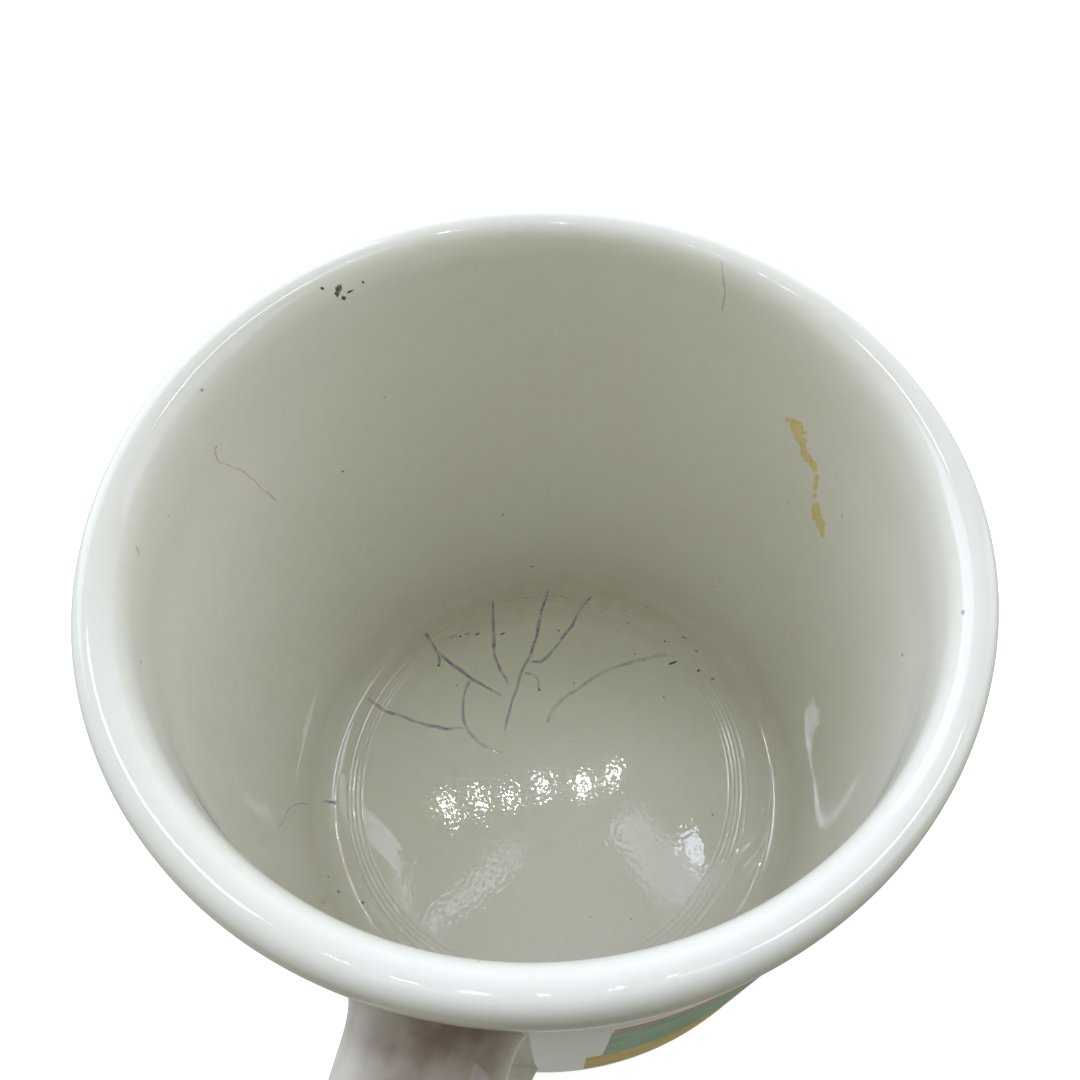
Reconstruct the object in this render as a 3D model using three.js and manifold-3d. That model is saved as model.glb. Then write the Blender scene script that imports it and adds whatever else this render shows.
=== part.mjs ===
import * as THREE from 'three';
import * as BufferGeometryUtils from 'three/addons/utils/BufferGeometryUtils.js';
import Module from 'manifold-3d';

// A glazed stoneware mug: a turned cup, a strap handle stuck on with two slip joints, and three
// colours of transfer fired on to the wall. Millimetres, +Z up, standing on Z = 0, handle to -Y.

// Overall size
const HEIGHT = 87;
const LIP_RADIUS = 41.5;
const HANDLE_REACH = 30.5;

// Foot and underside
const RECESS_HEIGHT = 2.2;
const RECESS_RADIUS = 26;
const FOOT_INNER_RADIUS = 29.4;
const FOOT_OUTER_RADIUS = 33.4;
const FOOT_EDGE = 0.9;
const FOOT_HEIGHT = 2.8;
const HEEL_TOP = 9.5;
const HEEL_BELLY = 0.7;
const HEEL_RISE = 0.4;

// Wall: a straight taper from the heel up to the neck under the lip
const WALL_LOW_RADIUS = 42.1;
const NECK_RADIUS = 41;
const NECK_HEIGHT = 77.5;

// Lip: a thick rolled edge that stands out past the neck
const LIP_WIDEST_HEIGHT = 84.8;
const LIP_CROWN_RADIUS = 40;
const LIP_INNER_RADIUS = 37.2;
const LIP_INNER_HEIGHT = 83.4;
const LIP_CURVE_START = 0.4;
const LIP_CURVE_END = 0.5;

// Inside: the lip's bead runs out into a bore that is almost straight
const BORE_TOP_RADIUS = 37.9;
const BORE_TOP_HEIGHT = 70;
const BORE_LOW_RADIUS = 38;
const FLOOR_HEIGHT = 8;
const FLOOR_RADIUS = 34.6;
const FILLET_TOP = 12.8;
const FLOOR_CROWN = 0.5;

// Handle strap
const STRAP_HALF_WIDTH = 7;
const STRAP_HALF_THICKNESS = 4.3;
const STRAP_SQUARENESS = 0.68;
const UPPER_ARM_HEIGHT = 71.5;
const LOWER_ARM_HEIGHT = 19.5;
const GRIP_HEIGHT = 52;
const ARM_STRAIGHT_END = 50;
const UPPER_BEND_SHARE = 0.62;
const LOWER_BEND_SHARE = 0.55;
const STRAP_STEPS = 40;

// Slip joints: a flared pad of slip between each end of the handle and the wall
const JOINT_THICKNESS = 3.2;
const JOINT_ROOT_DEPTH = 2.4;
const JOINT_FLARE = 1.6;
const JOINT_STEPS = 7;

// Transfers: green field, pink line above it and ochre band below it, all open at the handle
const TRANSFER_GAP = 0.1;
const TRANSFER_THICKNESS = 0.25;
const PLAIN_HALF_ANGLE = THREE.MathUtils.degToRad(21);
const OCHRE_HALF_ANGLE = THREE.MathUtils.degToRad(18.5);
const OCHRE_BOTTOM = 13;
const OCHRE_TOP = 37;
const GREEN_TOP = 67.5;
const PINK_LINE_WIDTH = 3;
const COLOUR_GAP = 0.2;

// Finishes
const GLAZE_COLOUR = '#dfe0d6';
const SLIP_COLOUR = '#d8d8cd';
const GREEN_COLOUR = '#8faa8c';
const PINK_COLOUR = '#d9a9a4';
const OCHRE_COLOUR = '#c9b063';
const GLAZE_ROUGHNESS = 0.18;
const ENAMEL_ROUGHNESS = 0.3;

// The origin is the middle of the whole footprint, so the cup's own axis lies a little to +Y.
const FRONT_RADIUS = WALL_LOW_RADIUS + TRANSFER_GAP + TRANSFER_THICKNESS;
const CUP_AXIS_Y = (LIP_RADIUS + HANDLE_REACH - FRONT_RADIUS) / 2;

// Clearance between pieces that meet, and how finely round shapes are divided
const GAP = 0.3;
const TURN_SEGMENTS = 72;
const CURVE_DIVISIONS = 5;
const WEDGE_REACH = 2 * LIP_RADIUS;

const wasm = await Module();
wasm.setup();

function toSolid(geometry) {
  const bare = geometry.clone();
  bare.deleteAttribute('normal');
  bare.deleteAttribute('uv');
  const merged = BufferGeometryUtils.mergeVertices(bare);
  const mesh = new wasm.Mesh({
    numProp: 3,
    vertProperties: new Float32Array(merged.attributes.position.array),
    triVerts: new Uint32Array(merged.index.array),
  });
  mesh.merge();
  return new wasm.Manifold(mesh);
}

function toGeometry(solid) {
  const mesh = solid.getMesh();
  const geometry = new THREE.BufferGeometry();
  geometry.setAttribute('position', new THREE.BufferAttribute(mesh.vertProperties, 3));
  geometry.setIndex(new THREE.BufferAttribute(mesh.triVerts, 1));
  geometry.computeVertexNormals();
  return geometry;
}

// Turns a radius and height profile about +Z, with one edge of the turning on -Y.
function turn(profile) {
  const geometry = new THREE.LatheGeometry(profile, TURN_SEGMENTS);
  geometry.rotateX(Math.PI / 2);
  return geometry;
}

function wallRadius(height) {
  const share = (height - HEEL_TOP) / (NECK_HEIGHT - HEEL_TOP);
  return THREE.MathUtils.lerp(WALL_LOW_RADIUS, NECK_RADIUS, share);
}

// Cup body: one profile from the middle of the underside, round the foot, up the wall, over the
// lip, down the bore and back to the axis across the floor.
function cupBody() {
  const footInside = FOOT_INNER_RADIUS - FOOT_EDGE;
  const footOutside = FOOT_OUTER_RADIUS + FOOT_EDGE;
  const outline = new THREE.Path();
  outline.moveTo(0, RECESS_HEIGHT);
  outline.lineTo(RECESS_RADIUS, RECESS_HEIGHT);
  outline.quadraticCurveTo(footInside, RECESS_HEIGHT, footInside, FOOT_EDGE);
  outline.quadraticCurveTo(footInside, 0, FOOT_INNER_RADIUS, 0);
  outline.lineTo(FOOT_OUTER_RADIUS, 0);
  outline.quadraticCurveTo(footOutside, 0, footOutside, FOOT_EDGE);
  outline.lineTo(footOutside + FOOT_EDGE, FOOT_HEIGHT);
  outline.bezierCurveTo(
    THREE.MathUtils.lerp(FOOT_OUTER_RADIUS, WALL_LOW_RADIUS, HEEL_BELLY), FOOT_HEIGHT,
    WALL_LOW_RADIUS, THREE.MathUtils.lerp(FOOT_HEIGHT, HEEL_TOP, HEEL_RISE),
    WALL_LOW_RADIUS, HEEL_TOP,
  );
  outline.lineTo(NECK_RADIUS, NECK_HEIGHT);
  outline.bezierCurveTo(
    NECK_RADIUS, THREE.MathUtils.lerp(NECK_HEIGHT, LIP_WIDEST_HEIGHT, LIP_CURVE_START),
    LIP_RADIUS, THREE.MathUtils.lerp(NECK_HEIGHT, LIP_WIDEST_HEIGHT, LIP_CURVE_END),
    LIP_RADIUS, LIP_WIDEST_HEIGHT,
  );
  outline.quadraticCurveTo(LIP_RADIUS, HEIGHT, LIP_CROWN_RADIUS, HEIGHT);
  outline.quadraticCurveTo(LIP_INNER_RADIUS, HEIGHT, LIP_INNER_RADIUS, LIP_INNER_HEIGHT);
  outline.bezierCurveTo(
    LIP_INNER_RADIUS, THREE.MathUtils.lerp(LIP_INNER_HEIGHT, BORE_TOP_HEIGHT, LIP_CURVE_START),
    BORE_TOP_RADIUS, THREE.MathUtils.lerp(LIP_INNER_HEIGHT, BORE_TOP_HEIGHT, LIP_CURVE_END),
    BORE_TOP_RADIUS, BORE_TOP_HEIGHT,
  );
  outline.lineTo(BORE_LOW_RADIUS, FILLET_TOP);
  outline.quadraticCurveTo(BORE_LOW_RADIUS, FLOOR_HEIGHT, FLOOR_RADIUS, FLOOR_HEIGHT);
  outline.quadraticCurveTo(FLOOR_RADIUS / 2, FLOOR_HEIGHT + FLOOR_CROWN, 0, FLOOR_HEIGHT + FLOOR_CROWN);
  return turn(outline.getPoints(CURVE_DIVISIONS));
}

// Handle section: a squarish oval with the given half sizes.
function strapSection(a, b) {
  const k = STRAP_SQUARENESS;
  const section = new THREE.Shape();
  section.moveTo(a, 0);
  section.bezierCurveTo(a, k * b, k * a, b, 0, b);
  section.bezierCurveTo(-k * a, b, -a, k * b, -a, 0);
  section.bezierCurveTo(-a, -k * b, -k * a, -b, 0, -b);
  section.bezierCurveTo(k * a, -b, a, -k * b, a, 0);
  return section;
}

// Handle: the section swept from the upper joint, out, down round the grip and back to the lower.
function handle() {
  const outer = LIP_RADIUS + HANDLE_REACH - STRAP_HALF_THICKNESS;
  const curveOut = THREE.MathUtils.lerp(ARM_STRAIGHT_END, outer, UPPER_BEND_SHARE);
  const point = (reach, height) => new THREE.Vector3(0, -reach, height);
  const upperEnd = point(wallRadius(UPPER_ARM_HEIGHT) + JOINT_THICKNESS, UPPER_ARM_HEIGHT);
  const upperBend = point(ARM_STRAIGHT_END, UPPER_ARM_HEIGHT);
  const grip = point(outer, GRIP_HEIGHT);
  const lowerBend = point(ARM_STRAIGHT_END, LOWER_ARM_HEIGHT);
  const lowerEnd = point(wallRadius(LOWER_ARM_HEIGHT) + JOINT_THICKNESS, LOWER_ARM_HEIGHT);

  const path = new THREE.CurvePath();
  path.add(new THREE.LineCurve3(upperEnd, upperBend));
  path.add(new THREE.CubicBezierCurve3(
    upperBend,
    point(curveOut, UPPER_ARM_HEIGHT),
    point(outer, THREE.MathUtils.lerp(GRIP_HEIGHT, UPPER_ARM_HEIGHT, UPPER_BEND_SHARE)),
    grip,
  ));
  path.add(new THREE.CubicBezierCurve3(
    grip,
    point(outer, THREE.MathUtils.lerp(GRIP_HEIGHT, LOWER_ARM_HEIGHT, LOWER_BEND_SHARE)),
    point(curveOut, LOWER_ARM_HEIGHT),
    lowerBend,
  ));
  path.add(new THREE.LineCurve3(lowerBend, lowerEnd));
  return new THREE.ExtrudeGeometry(strapSection(STRAP_HALF_THICKNESS, STRAP_HALF_WIDTH), {
    steps: STRAP_STEPS,
    curveSegments: CURVE_DIVISIONS,
    extrudePath: path,
  });
}

// The space that the cup fills, grown by the clearance, as the tool that shapes the joints.
function wallTool() {
  const profile = [
    new THREE.Vector2(0, HEEL_TOP),
    new THREE.Vector2(WALL_LOW_RADIUS + GAP, HEEL_TOP),
    new THREE.Vector2(NECK_RADIUS + GAP, NECK_HEIGHT),
    new THREE.Vector2(NECK_RADIUS + GAP, HEIGHT),
    new THREE.Vector2(0, HEIGHT),
  ];
  return toSolid(turn(profile));
}

// Slip joint: the handle's section, spreading towards the wall and cut to the wall's curve.
function slipJoint(height) {
  const depth = JOINT_ROOT_DEPTH + JOINT_THICKNESS - GAP;
  const geometry = new THREE.ExtrudeGeometry(strapSection(STRAP_HALF_WIDTH, STRAP_HALF_THICKNESS), {
    depth,
    steps: JOINT_STEPS,
    curveSegments: CURVE_DIVISIONS,
    bevelEnabled: false,
  });
  const position = geometry.attributes.position;
  for (let i = 0; i < position.count; i++) {
    const spread = JOINT_FLARE * (1 - position.getZ(i) / depth) ** 2;
    position.setX(i, position.getX(i) * (1 + spread / STRAP_HALF_WIDTH));
    position.setY(i, position.getY(i) * (1 + spread / STRAP_HALF_THICKNESS));
  }
  geometry.rotateX(Math.PI / 2);
  geometry.translate(0, JOINT_ROOT_DEPTH - wallRadius(height), height);
  return toGeometry(toSolid(geometry).subtract(wallTool()));
}

// A ring on the wall between two heights, from one distance off the wall to another.
function wallRing(bottom, top, near, far) {
  const profile = [
    new THREE.Vector2(wallRadius(bottom) + near, bottom),
    new THREE.Vector2(wallRadius(bottom) + far, bottom),
    new THREE.Vector2(wallRadius(top) + far, top),
    new THREE.Vector2(wallRadius(top) + near, top),
    new THREE.Vector2(wallRadius(bottom) + near, bottom),
  ];
  return toSolid(turn(profile));
}

// The sector behind the handle that a transfer leaves plain.
function plainSector(angle) {
  const wedge = new THREE.Shape();
  wedge.moveTo(0, 0);
  wedge.lineTo(-WEDGE_REACH * Math.sin(angle), -WEDGE_REACH * Math.cos(angle));
  wedge.lineTo(WEDGE_REACH * Math.sin(angle), -WEDGE_REACH * Math.cos(angle));
  return toSolid(new THREE.ExtrudeGeometry(wedge, { depth: HEIGHT, bevelEnabled: false }));
}

function transfer(bottom, top, plainAngle) {
  const outside = TRANSFER_GAP + TRANSFER_THICKNESS;
  return toGeometry(wallRing(bottom, top, TRANSFER_GAP, outside).subtract(plainSector(plainAngle)));
}

function ochreBand() {
  return transfer(OCHRE_BOTTOM, OCHRE_TOP, OCHRE_HALF_ANGLE);
}

function greenField() {
  return transfer(OCHRE_TOP + COLOUR_GAP, GREEN_TOP, PLAIN_HALF_ANGLE);
}

function pinkLine() {
  const bottom = GREEN_TOP + COLOUR_GAP;
  return transfer(bottom, bottom + PINK_LINE_WIDTH, PLAIN_HALF_ANGLE);
}

function material(color, roughness) {
  return new THREE.MeshStandardMaterial({ color, roughness, metalness: 0 });
}

const pieces = [
  ['cup_body', cupBody(), material(GLAZE_COLOUR, GLAZE_ROUGHNESS)],
  ['handle', handle(), material(GLAZE_COLOUR, GLAZE_ROUGHNESS)],
  ['upper_slip_joint', slipJoint(UPPER_ARM_HEIGHT), material(SLIP_COLOUR, GLAZE_ROUGHNESS)],
  ['lower_slip_joint', slipJoint(LOWER_ARM_HEIGHT), material(SLIP_COLOUR, GLAZE_ROUGHNESS)],
  ['green_transfer', greenField(), material(GREEN_COLOUR, ENAMEL_ROUGHNESS)],
  ['pink_transfer', pinkLine(), material(PINK_COLOUR, ENAMEL_ROUGHNESS)],
  ['ochre_transfer', ochreBand(), material(OCHRE_COLOUR, ENAMEL_ROUGHNESS)],
];

const mug = new THREE.Group();
mug.name = 'mug';
mug.position.y = CUP_AXIS_Y;
for (const [name, geometry, finish] of pieces) {
  const mesh = new THREE.Mesh(geometry, finish);
  mesh.name = name;
  mug.add(mesh);
}

export default mug;
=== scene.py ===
import math

import bpy
import numpy as np
from mathutils import Matrix, Vector


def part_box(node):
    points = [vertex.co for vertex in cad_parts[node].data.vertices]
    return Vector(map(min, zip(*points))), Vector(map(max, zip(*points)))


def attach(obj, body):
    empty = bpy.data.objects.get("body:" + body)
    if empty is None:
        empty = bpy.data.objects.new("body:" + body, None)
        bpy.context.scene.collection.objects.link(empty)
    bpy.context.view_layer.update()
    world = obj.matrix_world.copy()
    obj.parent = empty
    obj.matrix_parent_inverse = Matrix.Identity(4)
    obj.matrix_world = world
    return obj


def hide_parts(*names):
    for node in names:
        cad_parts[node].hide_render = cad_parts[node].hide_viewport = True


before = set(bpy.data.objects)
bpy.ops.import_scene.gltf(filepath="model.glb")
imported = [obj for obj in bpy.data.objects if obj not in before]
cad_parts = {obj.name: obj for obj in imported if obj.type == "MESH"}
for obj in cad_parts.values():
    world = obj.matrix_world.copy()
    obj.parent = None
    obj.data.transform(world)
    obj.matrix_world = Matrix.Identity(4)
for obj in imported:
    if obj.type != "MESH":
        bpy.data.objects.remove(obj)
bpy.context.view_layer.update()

# A glazed stoneware mug: turned cup, strap handle on two slip fillets, three colours of fired
# transfer, and the marks of use inside it. Shapes are worked out in millimetres in the packed
# part's own frame and written to Blender in metres.
MM = 0.001
SCENE = bpy.context.scene
RNG = np.random.default_rng(20)


def box_mm(node):
    low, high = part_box(node)
    return np.array(low) / MM, np.array(high) / MM


# ---- driving dimensions (mm)
CUP_LOW, CUP_HIGH = box_mm("cup_body")
HANDLE_LOW, HANDLE_HIGH = box_mm("handle")
AXIS = (CUP_LOW + CUP_HIGH) / 2 * np.array([1, 1, 0])
HEIGHT = CUP_HIGH[2]
WIDEST_RADIUS = (CUP_HIGH[0] - CUP_LOW[0]) / 2

RECESS_HEIGHT = 2.2
RECESS_RADIUS = 26.0
FOOT_INNER_RADIUS = 29.4
FOOT_OUTER_RADIUS = 33.4
FOOT_EDGE = 0.9
FOOT_HEIGHT = 2.8
HEEL_TOP = 9.5
WALL_LOW_RADIUS = WIDEST_RADIUS
NECK_RADIUS = 41.0
NECK_HEIGHT = 77.5
LIP_RADIUS = 41.5
LIP_WIDEST_HEIGHT = 84.8
LIP_CROWN_RADIUS = 40.0
LIP_INNER_RADIUS = 37.2
LIP_INNER_HEIGHT = 83.4
BORE_TOP_RADIUS = 37.9
BORE_TOP_HEIGHT = 70.0
BORE_LOW_RADIUS = 38.0
FLOOR_HEIGHT = 8.0
FLOOR_RADIUS = 34.6
FILLET_TOP = 12.8
FLOOR_CROWN = 0.5

STRAP_HALF_WIDTH = (HANDLE_HIGH[0] - HANDLE_LOW[0]) / 2
STRAP_HALF_THICKNESS = 4.3
STRAP_SQUARENESS = 0.68
UPPER_ARM_HEIGHT = HANDLE_HIGH[2] - STRAP_HALF_THICKNESS
LOWER_ARM_HEIGHT = HANDLE_LOW[2] + STRAP_HALF_THICKNESS
GRIP_HEIGHT = 52.0
GRIP_REACH = AXIS[1] - HANDLE_LOW[1] - STRAP_HALF_THICKNESS
ARM_STRAIGHT_END = 50.0
JOINT_THICKNESS = 3.2
JOINT_FLARE = 0.8
JOINT_SINK = 0.16
JOINT_RINGS = 22
UPPER_BEND = 0.62
LOWER_BEND = 0.55
# Painted shade and dirt on the handle under the lip: where it fades out, and how far off the middle it
# is strongest.
HANDLE_SHADE_END = 58.0
HANDLE_SHADE_MIDDLE = 1.5

PLAIN_HALF_ANGLE = 21.0
OCHRE_HALF_ANGLE = 18.5
PRINT_LIFT = 0.05
PRINT_ROOT = -0.06

TURN_STEPS = 224
# Stain with painted shade at the back of the floor's edge: its turn and strength.
SOIL_AND_SHADE_TURN = math.radians(-18)
SOIL_AND_SHADE_SHARE = 0.35
THIN_BAND_FOOT = (70.0, 72.5)
THIN_BAND_TOP = (79.0, 77.0)
THIN_BAND_SHARE = 0.7


# ---- small maths helpers
def lerp(a, b, share):
    return a + (b - a) * share


def smooth(low, high, value):
    share = np.clip((np.asarray(value, float) - low) / (high - low), 0, 1)
    return share * share * (3 - 2 * share)


def bump_at(value, centre, width):
    return np.exp(-(((np.asarray(value, float) - centre) / width) ** 2))


def curve_point(controls, share):
    """The point at a share of the way along the curve that the control points pull."""
    while len(controls) > 1:
        controls = [lerp(a, b, share) for a, b in zip(controls, controls[1:])]
    return controls[0]


def distances(points):
    """How far along a line of points each of them lies."""
    return np.concatenate([[0], np.cumsum(np.linalg.norm(np.diff(points, axis=0), axis=1))])


class Outline:
    """A radius and height line made of straight and curved runs, divided at a chosen spacing."""

    def __init__(self, start):
        self.points = [np.array(start, float)]

    def run(self, controls, spacing):
        controls = [self.points[-1]] + [np.array(c, float) for c in controls]
        length = sum(np.linalg.norm(b - a) for a, b in zip(controls, controls[1:]))
        count = max(2, int(math.ceil(length / spacing)))
        for k in range(1, count + 1):
            self.points.append(curve_point(controls, k / count))


def cup_outline():
    foot_inside = FOOT_INNER_RADIUS - FOOT_EDGE
    foot_outside = FOOT_OUTER_RADIUS + FOOT_EDGE
    line = Outline((0, RECESS_HEIGHT))
    line.run([(RECESS_RADIUS, RECESS_HEIGHT)], 2.0)
    line.run([(foot_inside, RECESS_HEIGHT), (foot_inside, FOOT_EDGE)], 0.4)
    line.run([(foot_inside, 0), (FOOT_INNER_RADIUS, 0)], 0.3)
    line.run([(FOOT_OUTER_RADIUS, 0)], 0.8)
    line.run([(foot_outside, 0), (foot_outside, FOOT_EDGE)], 0.3)
    line.run([(foot_outside + FOOT_EDGE, FOOT_HEIGHT)], 0.4)
    line.run([(lerp(FOOT_OUTER_RADIUS, WALL_LOW_RADIUS, 0.7), FOOT_HEIGHT),
              (WALL_LOW_RADIUS, lerp(FOOT_HEIGHT, HEEL_TOP, 0.4)),
              (WALL_LOW_RADIUS, HEEL_TOP)], 0.5)
    line.run([(NECK_RADIUS, NECK_HEIGHT)], 1.0)
    line.run([(NECK_RADIUS, lerp(NECK_HEIGHT, LIP_WIDEST_HEIGHT, 0.4)),
              (LIP_RADIUS, lerp(NECK_HEIGHT, LIP_WIDEST_HEIGHT, 0.5)),
              (LIP_RADIUS, LIP_WIDEST_HEIGHT)], 0.3)
    line.run([(LIP_RADIUS, HEIGHT), (LIP_CROWN_RADIUS, HEIGHT)], 0.25)
    crown = len(line.points) - 1
    line.run([(LIP_INNER_RADIUS, HEIGHT), (LIP_INNER_RADIUS, LIP_INNER_HEIGHT)], 0.25)
    line.run([(LIP_INNER_RADIUS, lerp(LIP_INNER_HEIGHT, BORE_TOP_HEIGHT, 0.4)),
              (BORE_TOP_RADIUS, lerp(LIP_INNER_HEIGHT, BORE_TOP_HEIGHT, 0.5)),
              (BORE_TOP_RADIUS, BORE_TOP_HEIGHT)], 0.6)
    line.run([(BORE_LOW_RADIUS, FILLET_TOP)], 1.0)
    line.run([(BORE_LOW_RADIUS, FLOOR_HEIGHT), (FLOOR_RADIUS, FLOOR_HEIGHT)], 0.3)
    floor_curve = [np.array((FLOOR_RADIUS, FLOOR_HEIGHT), float),
                   np.array((FLOOR_RADIUS / 2, FLOOR_HEIGHT + FLOOR_CROWN), float),
                   np.array((0, FLOOR_HEIGHT + FLOOR_CROWN), float)]
    radius = FLOOR_RADIUS
    while radius > 0.4:
        radius -= RIDGE_SPACING if RIDGE_ZONE[0] < radius < RIDGE_ZONE[1] else 0.9
        line.points.append(curve_point(floor_curve, 1 - max(radius, 0) / FLOOR_RADIUS))
    line.points[-1] = floor_curve[-1]
    return np.array(line.points), crown


# ---- the cup's surface
RIDGE_COUNT = 5
RIDGE_INNER = 29.7
RIDGE_ZONE = (27.7, 34.6)
RIDGE_PITCH = 0.74
RIDGE_SPACING = 0.075
RIDGE_WIDTH = 0.16
RIDGE_LIFT = 0.062
RIDGE_SHIFT = -1.6

OUTLINE, CROWN = cup_outline()
ALONG = distances(OUTLINE)
LENGTH = ALONG[-1]
WALL_WAVES = [(amplitude, lobes, RNG.uniform(0, 2 * math.pi), RNG.uniform(-0.05, 0.05))
              for amplitude, lobes in ((0.10, 2), (0.05, 3), (0.03, 5), (0.015, 9))]
RIDGES = [(RIDGE_INNER + k * RIDGE_PITCH + RNG.uniform(-0.12, 0.12), RNG.uniform(0.7, 1.15))
          for k in range(RIDGE_COUNT)]


def outline_normals():
    tangent = np.gradient(OUTLINE, axis=0)
    tangent /= np.linalg.norm(tangent, axis=1)[:, None]
    normal = np.stack([tangent[:, 1], -tangent[:, 0]], axis=1)
    normal[0] = (0, -1)
    normal[-1] = (0, 1)
    return normal


NORMALS = outline_normals()


def swell(along, turn):
    """How far the fired surface stands off the true outline, in mm."""
    radius = np.interp(along, ALONG, OUTLINE[:, 0])
    height = np.interp(along, ALONG, OUTLINE[:, 1])
    total = np.zeros(np.broadcast(along, turn).shape)
    for amplitude, lobes, phase, pitch in WALL_WAVES:
        total = total + amplitude * np.sin(lobes * turn + phase + pitch * height)
    total = total * smooth(6, 30, radius) * smooth(2, 14, height)
    inside = (along > LENGTH / 2) & (height < FLOOR_HEIGHT + 1)
    ridge = np.zeros(total.shape)
    squared = radius ** 2 + RIDGE_SHIFT ** 2 - 2 * RIDGE_SHIFT * radius * np.sin(turn)
    spread = np.sqrt(np.maximum(squared, 0))
    for place, share in RIDGES:
        drift = 0.12 * np.sin(turn + place) + 0.05 * np.sin(3 * turn + 2 * place)
        ridge = ridge + share * bump_at(spread, place + drift, RIDGE_WIDTH)
    return total + np.where(inside, RIDGE_LIFT * ridge, 0)


def cup_point(along, turn, lift=0.0):
    """Point on the cup: along is the distance down the outline, turn the angle from -Y to +X."""
    along = np.asarray(along, float)
    turn = np.asarray(turn, float)
    radius = np.interp(along, ALONG, OUTLINE[:, 0])
    height = np.interp(along, ALONG, OUTLINE[:, 1])
    out = np.interp(along, ALONG, NORMALS[:, 0])
    rise = np.interp(along, ALONG, NORMALS[:, 1])
    off = swell(along, turn) + lift
    radius = radius + out * off
    height = height + rise * off
    return np.stack(np.broadcast_arrays(
        AXIS[0] + radius * np.sin(turn), AXIS[1] - radius * np.cos(turn), height), axis=-1)


def outer_along(height):
    """Distance down the outline of a height on the outer wall."""
    heights = OUTLINE[:CROWN + 1, 1]
    start = int(np.argmin(np.abs(OUTLINE[:CROWN + 1, 1] - FOOT_HEIGHT)))
    return np.interp(height, heights[start:], ALONG[start:CROWN + 1])


def inner_along(height):
    """Distance down the outline of a height on the inner wall."""
    heights = OUTLINE[CROWN:, 1]
    radii = OUTLINE[CROWN:, 0]
    end = int(np.argmax(radii < FLOOR_RADIUS + 0.5))
    return np.interp(-height, -heights[:end], ALONG[CROWN:CROWN + end])


def floor_along(radius):
    """Distance down the outline of a radius on the floor inside."""
    end = int(np.argmax((OUTLINE[CROWN:, 0] < FLOOR_RADIUS + 0.5) & (OUTLINE[CROWN:, 1] < 20)))
    radii = OUTLINE[CROWN + end:, 0]
    return np.interp(-radius, -radii, ALONG[CROWN + end:])


# ---- mesh building
def signed_volume(points, faces):
    triangles = np.array([(f[0], b, c) for f in faces for b, c in zip(f[1:], f[2:])])
    a, b, c = (points[triangles[:, k]] for k in range(3))
    return float(np.sum(a * np.cross(b, c)))


def make_piece(name, points, faces, material, stands_for=(), tags=None, sharp=40):
    """A closed mesh piece that rides on the mug, from points in mm."""
    points = np.asarray(points, float)
    if signed_volume(points, faces) < 0:
        faces = [tuple(reversed(face)) for face in faces]
    mesh = bpy.data.meshes.new(name)
    mesh.from_pydata((points * MM).tolist(), [], [tuple(int(i) for i in f) for f in faces])
    mesh.shade_smooth()
    mesh.set_sharp_from_angle(angle=math.radians(sharp))
    for tag, values in (tags or {}).items():
        values = np.asarray(values, np.float32)
        if values.ndim == 1:
            layer = mesh.attributes.new(tag, "FLOAT", "POINT")
            layer.data.foreach_set("value", values)
        else:
            layer = mesh.attributes.new(tag, "FLOAT_COLOR", "POINT")
            colours = np.ones((len(values), 4), np.float32)
            colours[:, :3] = values
            layer.data.foreach_set("color", colours.ravel())
    mesh.validate()
    mesh.materials.append(material)
    piece = bpy.data.objects.new(name, mesh)
    SCENE.collection.objects.link(piece)
    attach(piece, "root")
    if stands_for:
        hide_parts(*stands_for)
    return piece


def ring_faces(rows, columns, closed=True):
    """Quads between rows of points; closed joins each row's last point to its first."""
    faces = []
    for i in range(rows - 1):
        for j in range(columns if closed else columns - 1):
            k = (j + 1) % columns
            faces.append((i * columns + j, i * columns + k,
                          (i + 1) * columns + k, (i + 1) * columns + j))
    return faces


def capped_tube(rings):
    """Points and faces of a closed tube through rings of equal size."""
    rings = np.asarray(rings, float)
    rows, columns = rings.shape[:2]
    points = np.concatenate([rings.reshape(-1, 3), rings[0].mean(0)[None], rings[-1].mean(0)[None]])
    faces = ring_faces(rows, columns)
    first, last = rows * columns, rows * columns + 1
    for j in range(columns):
        k = (j + 1) % columns
        faces.append((first, k, j))
        faces.append((last, (rows - 1) * columns + j, (rows - 1) * columns + k))
    return points, faces


# ---- materials
def rgb(red, green, blue):
    """A colour given as it looks on screen, from 0 to 255, in linear light."""
    return tuple(((c / 255 + 0.055) / 1.055) ** 2.4 if c > 10 else c / 255 / 12.92
                 for c in (red, green, blue))


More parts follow.
